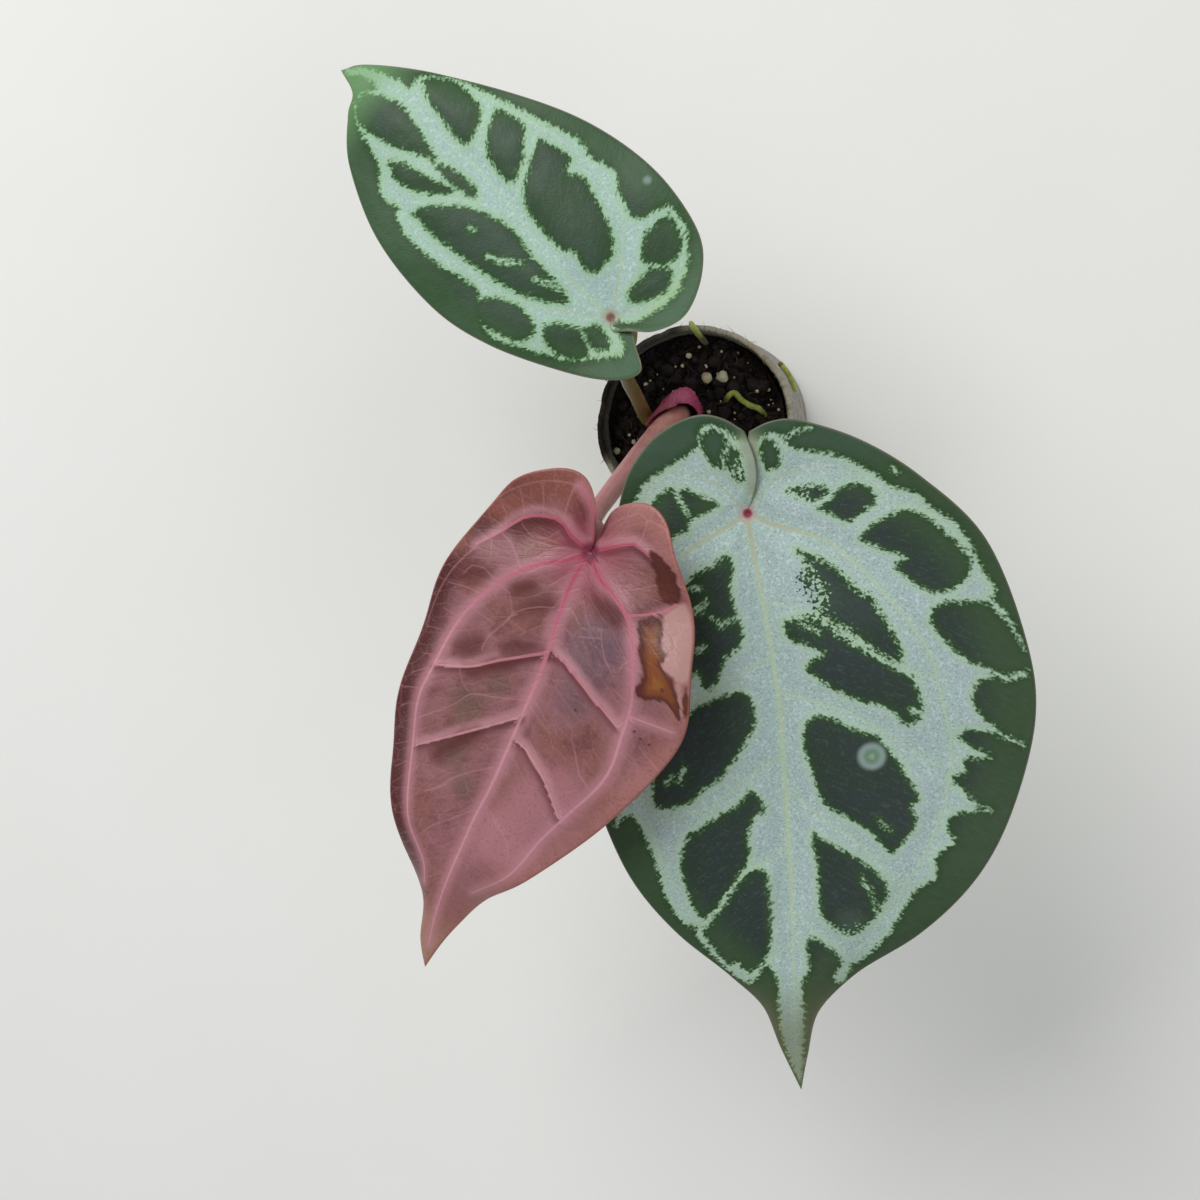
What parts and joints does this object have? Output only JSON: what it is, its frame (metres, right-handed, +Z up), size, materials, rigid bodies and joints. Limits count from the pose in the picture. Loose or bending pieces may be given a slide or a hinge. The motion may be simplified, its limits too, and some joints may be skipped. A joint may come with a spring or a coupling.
{
  "type": "potted anthurium",
  "caption": "Young anthurium with heart-shaped leaves on round stalks, rooted in an open-ended paper growing plug filled with peat and perlite.",
  "frame": {"origin": "middle of the plug's flat underside, on the surface that it stands on", "axes": "+Z up along the plug, +X to the right and -Y to the front, where the large leaf points"},
  "size_m": [0.0973, 0.1454, 0.0913],
  "materials": {
    "paper": "matt fibrous paper",
    "medium": "crumbly damp peat with perlite",
    "crown": "smooth green wood",
    "scale": "waxy magenta scale leaf",
    "green_stalk": "smooth olive stalk",
    "new_stalk": "smooth pinkish stalk",
    "green_blade": "velvety dark green with silver veins",
    "new_blade": "satin coppery red",
    "root": "velvety lime green root"
  },
  "bodies": {
    "root": {"paper_sleeve": "paper", "growing_medium": "medium", "crown_stem": "crown", "scale_leaf": "scale", "stalk_small": "green_stalk", "stalk_large": "green_stalk", "stalk_new": "new_stalk", "blade_small": "green_blade", "blade_large": "green_blade", "blade_new": "new_blade", "root_on_medium": "root", "root_over_rim": "root", "root_on_sleeve": "root"}
  },
  "joints": []
}
